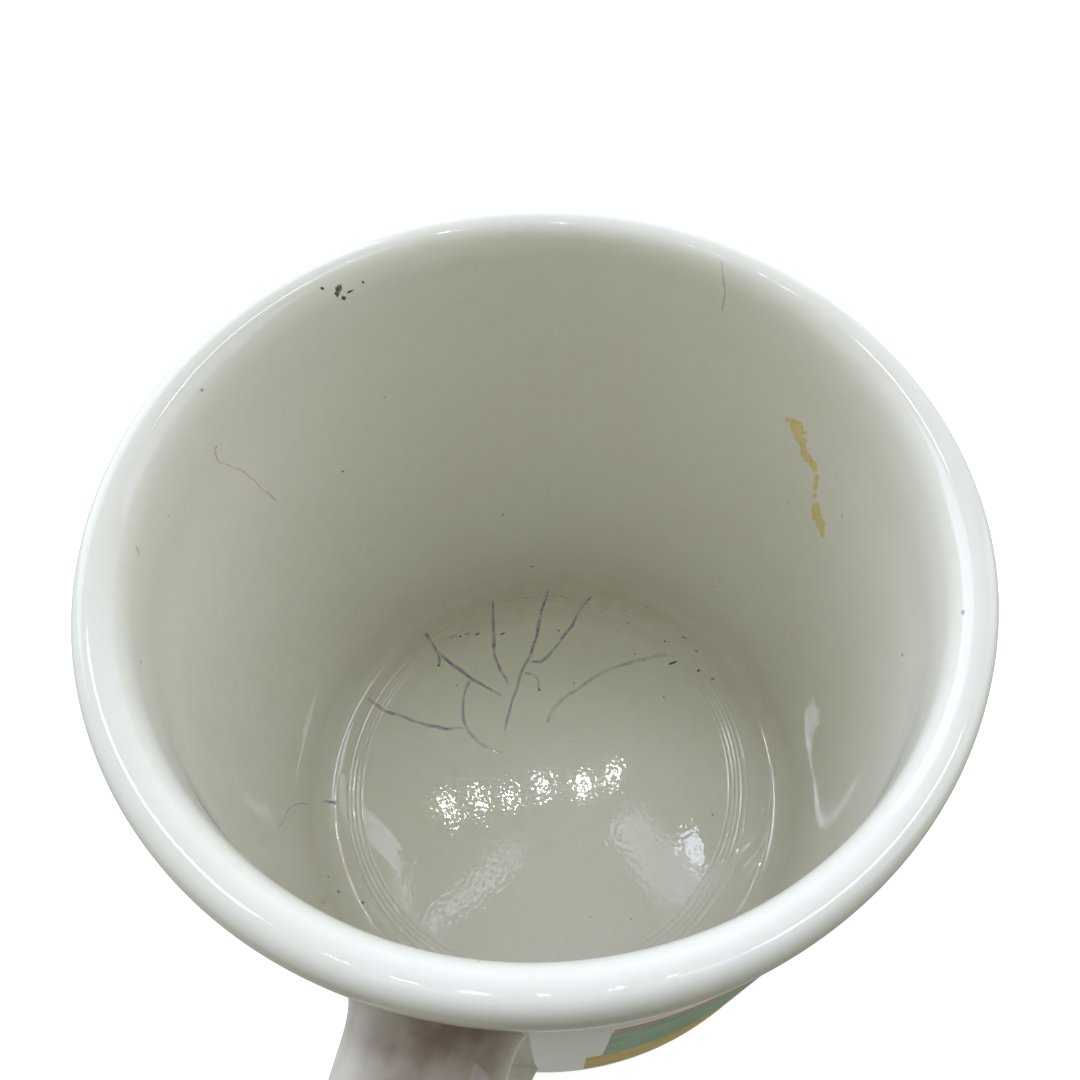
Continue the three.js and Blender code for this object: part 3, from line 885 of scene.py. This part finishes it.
def build_flecks():
    """Crumbs of dirt, ink spots and pin marks left in the glaze."""
    parts = []

    def spot(place, long, short, twist=0.0, colour=DIRT, strength=1.0, rise=0.04):
        parts.append(fleck(place, long, short, math.radians(twist), colour, strength, rise))

    # Half sizes follow each place, then any twist in degrees, colour, strength and rise.
    floor_spots = [
        (-19.6, 21.8, 0.5, 0.2),
        (-15.3, 22.8, 0.55, 0.2),
        (15.0, 24.0, 0.95, 0.24, 62),
        (19.6, 23.6, 0.3, 0.3),
        (22.3, 22.6, 0.3, 0.45, 0, RUST, 0.7),
        (12.9, 27.8, 0.24, 0.24, 0, DIRT, 0.9),
        (16.1, 29.3, 0.6, 0.18, 10, RUST, 0.9),
        (18.7, 27.2, 0.4, 0.2, 20, RUST, 0.7),
        (-5.8, 25.6, 0.26, 0.26, 0, rgb(150, 60, 50), 0.8),
        (-0.9, 16.4, 0.16, 0.16),
        (14.6, 17.3, 0.22, 0.16, 0, DIRT, 0.7),
        (8.2, 24.2, 0.24, 0.16, 0, RUST, 0.7),
        (5.8, 29.8, 0.22, 0.2, 0, RUST, 0.7),
        (25.9, -0.7, 0.22, 0.16, 0, DIRT, 0.7),
        (17.7, -6.6, 0.14, 0.14, 0, DIRT, 0.6),
        (10, -19.9, 0.14, 0.14, 0, DIRT, 0.8),
        (16.1, -18.9, 0.14, 0.14, 0, DIRT, 0.8),
        (-6.4, 14.0, 0.28, 0.34, 0, INK, 1.0, 0.02),
        (-24.4, 14.6, 0.26, 0.36, 0, INK, 1.0, 0.02),
        (-24.0, -25.0, 0.34, 0.34, 0, INK, 0.8, 0.02),
    ]
    for x, y, *look in floor_spots:
        spot(on_floor(x, y), *look)
    wall_spots = [
        (-48.8, 9.0, 0.45, 0.24, 30, INK, 0.9, 0.02),
        (-52.6, 9.9, 0.18, 0.18),
        (-129.1, 85.3, 0.75, 0.4, 50),
        (-129.6, 84.2, 0.4, 0.28, 110),
        (-131.0, 84.6, 0.5, 0.15, 0),
        (-126.9, 86.1, 0.22, 0.22),
        (-133.5, 85.0, 0.18, 0.18),
        (-101.1, 85.6, 0.2, 0.2, 0, DIRT, 0.7),
        (-120.0, 57.0, 0.2, 0.24),
        (-153.4, 29.5, 0.34, 0.28, 0, DIRT, 0.8),
        (-159.6, 11.2, 0.55, 0.2, 0, DIRT, 0.9),
        (148.7, 25.0, 0.18, 0.18, 0, DIRT, 0.7),
        (94.9, 68.2, 0.5, 0.22, 70, RUST, 0.6),
        (89.0, 86.1, 0.3, 0.22, 0, RUST, 0.7),
        (-74.3, 83.7, 0.7, 0.16, 60, RUST, 0.35),
        (-98.5, 78.5, 0.4, 0.16, 0, ROSE, 0.7),
    ]
    for turn, height, *look in wall_spots:
        spot(on_wall(turn, height), *look)
    for k in range(14):
        share = k / 13
        turn = lerp(-128, -136, share) + RNG.uniform(-0.8, 0.8)
        radius = lerp(31.6, 29.9, share) + RNG.uniform(-0.3, 0.3)
        place = (float(floor_along(radius)), math.radians(turn))
        spot(place, RNG.uniform(0.12, 0.3), RNG.uniform(0.09, 0.14), RNG.uniform(-20, 20), RUST, 0.85)
    for k in range(16):
        share = k / 15
        turn = lerp(-150, -170, share) + RNG.uniform(-0.8, 0.8)
        radius = lerp(33.4, 33.0, share) + RNG.uniform(-0.25, 0.25)
        place = (float(floor_along(radius)), math.radians(turn))
        spot(place, RNG.uniform(0.15, 0.4), RNG.uniform(0.09, 0.14), RNG.uniform(-20, 20), RUST,
             RNG.uniform(0.3, 0.7))
    for k in range(26):
        turn = RNG.uniform(0, 2 * math.pi)
        height = RNG.uniform(16, 84)
        size = RNG.uniform(0.07, 0.14)
        spot((float(inner_along(height)), turn), size, size, 0, RUST, RNG.uniform(0.25, 0.6), 0.01)
    points, faces, tags = join(parts)
    return make_piece("flecks", points, faces, MARKED_GLAZE, (), tags, 60)


def build_stain():
    """A dried ochre drip on the inner wall, in blobs joined by a thin run."""
    # Each blob is (turn in degrees, height, half width, half height).
    blobs = [(142.2, 69.9, 1.7, 1.4), (140.9, 68.6, 1.1, 1.1), (139.5, 67.6, 0.65, 0.8),
             (137.8, 66.8, 1.7, 1.0), (136.2, 66.2, 1.0, 0.6), (134.7, 65.0, 0.5, 1.0),
             (134.1, 63.5, 0.45, 1.0), (133.5, 62.0, 0.42, 0.8), (131.8, 60.1, 1.3, 1.5),
             (130.5, 59.1, 1.5, 1.4), (129.2, 58.2, 1.0, 0.9), (128.3, 57.7, 0.5, 0.6),
             (125.8, 64.3, 0.4, 0.4)]
    rows, columns = 150, 150
    turns = np.linspace(147.5, 122.5, columns)
    heights = np.linspace(74, 54.5, rows)
    grid_turn, grid_height = np.meshgrid(turns, heights)
    waves = np.zeros(grid_turn.shape)
    for _ in range(9):
        across = grid_turn * RNG.uniform(0.8, 5)
        down = grid_height * RNG.uniform(-3, 3)
        waves += np.sin(across + down + RNG.uniform(0, 6))
    waves /= 3
    field = np.zeros(grid_turn.shape)
    scale = math.radians(1) * BORE_TOP_RADIUS
    for turn, height, wide, tall in blobs:
        gap = np.hypot((grid_turn - turn) * scale / wide, (grid_height - height) / tall)
        field = np.maximum(field, 1.35 - gap)
    amount = smooth(0.36, 0.66, field + 0.18 * waves)
    rim = amount * smooth(1.1, 0.6, field + 0.2 * waves)
    weight = amount * (0.72 + 0.2 * rim)
    edge = np.ones(field.shape)
    edge[0] = edge[-1] = 0
    edge[:, 0] = edge[:, -1] = 0
    lift = np.where(edge > 0, 0.006 + 0.04 * amount, -0.03)
    along = inner_along(grid_height)
    face = cup_point(along, np.radians(grid_turn), lift)
    back = cup_point(along, np.radians(grid_turn), -0.1)
    points, faces = shell(face, back)
    weight = np.concatenate([(weight * edge).ravel(), np.zeros(field.size)])
    tags = mark_tags(weight, DRIED, 0.2, 0.15)
    return make_piece("dried_drip", points, faces, MARKED_GLAZE, (), tags, 180)


# ---- stage, light and camera
TABLE_HALF_SIZE = 2.5
TABLE_GLOW = 0.7


def build_floor():
    """The white table, which glows a little and is left out of bounced and mirrored light."""
    half = TABLE_HALF_SIZE
    corners = [(-half, -half, 0), (half, -half, 0), (half, half, 0), (-half, half, 0)]
    mesh = bpy.data.meshes.new("table")
    mesh.from_pydata(corners, [], [(0, 1, 2, 3)])
    table = bpy.data.objects.new("table", mesh)
    s = Shader("white table")
    colour = s.mix(s.ramp(s.noise(60, 2), 0.3, 0.7), (0.93, 0.93, 0.93), (0.9, 0.9, 0.9))
    s.put(s.surface.inputs["Emission Color"], (1.0, 1.0, 1.0))
    s.surface.inputs["Emission Strength"].default_value = TABLE_GLOW
    mesh.materials.append(s.finish(colour, 0.9, s.bump(s.noise(3, 2), 0.02)))
    SCENE.collection.objects.link(table)
    table.visible_diffuse = False
    table.visible_glossy = False


LIGHT_TINT = (0.91, 1.0, 1.22)


def add_area(name, place, target, size, power, tint=LIGHT_TINT):
    """A lamp aimed at a target; place, target and size in metres, power in watts."""
    lamp = bpy.data.lights.new(name, "AREA")
    lamp.shape = "RECTANGLE"
    lamp.size, lamp.size_y = size
    lamp.energy = power
    lamp.color = tint
    holder = bpy.data.objects.new(name, lamp)
    holder.location = place
    direction = Vector(target) - Vector(place)
    holder.rotation_euler = direction.to_track_quat("-Z", "Y").to_euler()
    SCENE.collection.objects.link(holder)
    return holder


# The camera looks down into the cup from above the handle, about 73 mm over the lip.
EYE = Vector(((AXIS[0] + 12.0) * MM, (AXIS[1] - 44.7) * MM, 159.8 * MM))
LOOK_TURN = math.radians(-6.21)
LOOK_DOWN = math.radians(59.42)
LOOK_ROLL = math.radians(6.11)
LENS = 31.5
SHIFT = (-0.0786, 0.0099)


def build_camera():
    ahead = Vector((math.sin(LOOK_TURN) * math.cos(LOOK_DOWN),
                    math.cos(LOOK_TURN) * math.cos(LOOK_DOWN), -math.sin(LOOK_DOWN)))
    right = ahead.cross(Vector((0, 0, 1))).normalized()
    up = right.cross(ahead)
    turned_right = right * math.cos(LOOK_ROLL) + up * math.sin(LOOK_ROLL)
    turned_up = up * math.cos(LOOK_ROLL) - right * math.sin(LOOK_ROLL)
    data = bpy.data.cameras.new("camera")
    data.sensor_width = 36.0
    data.lens = LENS
    data.shift_x, data.shift_y = SHIFT
    data.clip_start = 0.005
    camera = bpy.data.objects.new("camera", data)
    basis = Matrix((turned_right, turned_up, -ahead)).transposed()
    camera.matrix_world = Matrix.Translation(EYE) @ basis.to_4x4()
    SCENE.collection.objects.link(camera)
    SCENE.camera = camera
    build_flag(turned_right, -turned_up, -ahead)


# A row of small ceiling lamps. Each spot is where the camera sees one mirrored in the cup's floor:
# (x, y) in mm from the axis, then its share of LAMP_POWER. Sizes are in metres, powers in watts.
LAMP_SPOTS = [(-16.0, -9.0, 1.0), (-11.4, -6.6, 1.0), (-6.7, -5.2, 0.8),
              (-1.8, -2.2, 0.9), (4.6, -0.6, 1.5), (9.4, 2.0, 0.9)]
LAMP_HEIGHT = 2.0
LAMP_SIZE = (0.014, 0.046)
LAMP_POWER = 0.2

# Long hazy lamps: name, the two ends of the image on the cup's floor, width, power.
MIRRORED_STRIPS = [
    ("ceiling_haze_left", (-3.2, -11.0), (-16.0, -28.0), 0.055, 0.09),
    ("ceiling_strip_left", (-5.5, -14.0), (-14.5, -26.0), 0.014, 0.03),
    ("ceiling_haze_right", (12.5, -4.0), (27.0, -13.5), 0.1, 0.2),
    ("ceiling_strip_right", (12.2, -6.0), (22.0, -15.5), 0.016, 0.03),
]

# Lights aimed at the middle of the lip: name, place, size, power. The flanks of the turning
# ridges catch the two narrow ones.
AIMED_LIGHTS = [
    ("soft_left", (-1.15, 0.8, 0.82), (1.3, 1.3), 12.0),
    ("soft_right", (1.15, 0.45, 0.9), (1.2, 1.2), 5.5),
    ("ridge_light_left", (-0.74, 0.63, 2.0), (0.16, 0.42), 2.6),
    ("ridge_light_right", (0.43, 0.66, 2.0), (0.16, 0.5), 2.2),
]

# SKY_SIDE points to the sky's bright side, behind the mug and to the left.
SKY_DIM = 0.3
SKY_BRIGHT = 0.94
SKY_SIDE = (-0.58, 0.81, 0.0)
TABLE_BOUNCE = 0.45
SKY_HORIZON = 1.15
SKY_ZENITH = 0.55
WARM_TINT = (1.0, 0.99, 0.8)
SIDE_RANGE = (-0.85, 0.3)
TINT_RANGE = (-0.5, 0.8)
TABLE_RANGE = (-0.2, 0.1)
ZENITH_RANGE = (0.2, 0.95)


def build_sky():
    """Soft light from all round, brightest behind and to the left, dim overhead, in front and below."""
    world = bpy.data.worlds.new("studio")
    world.use_nodes = True
    tree = world.node_tree
    direction = tree.nodes.new("ShaderNodeTexCoord").outputs["Generated"]

    def step(value, low, high, start, end):
        node = tree.nodes.new("ShaderNodeMapRange")
        node.interpolation_type = "SMOOTHSTEP"
        tree.links.new(value, node.inputs["Value"])
        numbers = {"From Min": low, "From Max": high, "To Min": start, "To Max": end}
        for socket, number in numbers.items():
            node.inputs[socket].default_value = number
        return node.outputs["Result"]

    facing = tree.nodes.new("ShaderNodeVectorMath")
    facing.operation = "DOT_PRODUCT"
    facing.inputs[1].default_value = Vector(SKY_SIDE).normalized()
    tree.links.new(direction, facing.inputs[0])
    axes = tree.nodes.new("ShaderNodeSeparateXYZ")
    tree.links.new(direction, axes.inputs[0])
    strength = step(facing.outputs["Value"], *SIDE_RANGE, SKY_DIM, SKY_BRIGHT)
    above = step(axes.outputs["Z"], *TABLE_RANGE, TABLE_BOUNCE, 1.0)
    high = step(axes.outputs["Z"], *ZENITH_RANGE, SKY_HORIZON, SKY_ZENITH)
    for factor in (above, high):
        product = tree.nodes.new("ShaderNodeMath")
        product.operation = "MULTIPLY"
        tree.links.new(strength, product.inputs[0])
        tree.links.new(factor, product.inputs[1])
        strength = product.outputs[0]
    tint = tree.nodes.new("ShaderNodeMix")
    tint.data_type = "RGBA"
    colours = [socket for socket in tint.inputs if socket.type == "RGBA"]
    colours[0].default_value = (*WARM_TINT, 1)
    colours[1].default_value = (*LIGHT_TINT, 1)
    tree.links.new(step(facing.outputs["Value"], *TINT_RANGE, 0.0, 1.0), tint.inputs[0])
    sky = tree.nodes["Background"]
    result = [socket for socket in tint.outputs if socket.type == "RGBA"][0]
    tree.links.new(result, sky.inputs["Color"])
    tree.links.new(strength, sky.inputs["Strength"])
    SCENE.world = world


# A dark card held beside the camera, over the handle, keeps the front light off the cup.
FLAG_WIDTH = 84
FLAG_SPAN = (-12, 150)
FLAG_BACK = 8


def build_flag(right, down, back):
    """The dark card, behind the lens and square to the line of sight."""
    middle = EYE / MM + back * FLAG_BACK
    corners = [middle + right * (side * FLAG_WIDTH / 2) + down * along
               for along in FLAG_SPAN for side in (-1, 1)]
    corners = [corners[0], corners[1], corners[3], corners[2]]
    mesh = bpy.data.meshes.new("flag")
    mesh.from_pydata([tuple(c * MM) for c in corners], [], [(0, 1, 2, 3)])
    flag = bpy.data.objects.new("flag", mesh)
    s = Shader("dark card")
    mesh.materials.append(s.finish((0.03, 0.03, 0.035), 0.6, s.bump(s.noise(2, 2), 0.02)))
    SCENE.collection.objects.link(flag)
    flag.visible_camera = False


def mirrored_place(x, y):
    """The ceiling place that the camera sees mirrored at a place on the cup's floor."""
    spot = Vector((AXIS[0] + x, AXIS[1] + y, FLOOR_HEIGHT + FLOOR_CROWN)) * MM
    seen = (spot - EYE).normalized()
    tilt = FLOOR_CROWN * 2 / FLOOR_RADIUS * math.hypot(x, y) / FLOOR_RADIUS
    outward = Vector((x, y, 0)).normalized() * math.sin(tilt)
    normal = Vector((outward.x, outward.y, math.cos(tilt)))
    bounced = seen - 2 * seen.dot(normal) * normal
    return spot, spot + bounced * (LAMP_HEIGHT / bounced.z)


def mirrored_lamp(name, x, y, size, power):
    """A small white lamp that the camera sees mirrored at a place on the cup's floor."""
    spot, place = mirrored_place(x, y)
    lamp = add_area(name, place, spot, size, power, (1, 1, 1))
    lamp.rotation_euler = (place - spot).to_track_quat("Z", "Y").to_euler()


def mirrored_strip(name, start, end, width, power):
    """A long lamp whose image runs between two places on the cup's floor."""
    spot, head = mirrored_place(*start)
    tail = mirrored_place(*end)[1]
    middle = (head + tail) / 2
    lamp = add_area(name, middle, spot, (width, (tail - head).length), power)
    back = (middle - spot).normalized()
    long_way = (tail - head).normalized()
    across = long_way.cross(back).normalized()
    lamp.rotation_euler = Matrix((across, back.cross(across), back)).transposed().to_euler()


def build_lights():
    centre = (AXIS[0] * MM, AXIS[1] * MM, HEIGHT * MM)
    for name, place, size, power in AIMED_LIGHTS:
        add_area(name, place, centre, size, power)
    for k, (x, y, share) in enumerate(LAMP_SPOTS):
        mirrored_lamp(f"ceiling_lamp_{k}", x, y, LAMP_SIZE, LAMP_POWER * share)
    for name, start, end, width, power in MIRRORED_STRIPS:
        mirrored_strip(name, start, end, width, power)


# ---- put it all together
SCENE.view_settings.view_transform = "Standard"
build_cup()
build_joint("upper_slip_fillet", UPPER_ARM_HEIGHT, "upper_slip_joint")
build_joint("lower_slip_fillet", LOWER_ARM_HEIGHT, "lower_slip_joint")
build_handle()
build_prints()
build_craze()
build_stain()
build_flecks()
build_floor()
build_sky()
build_lights()
build_camera()
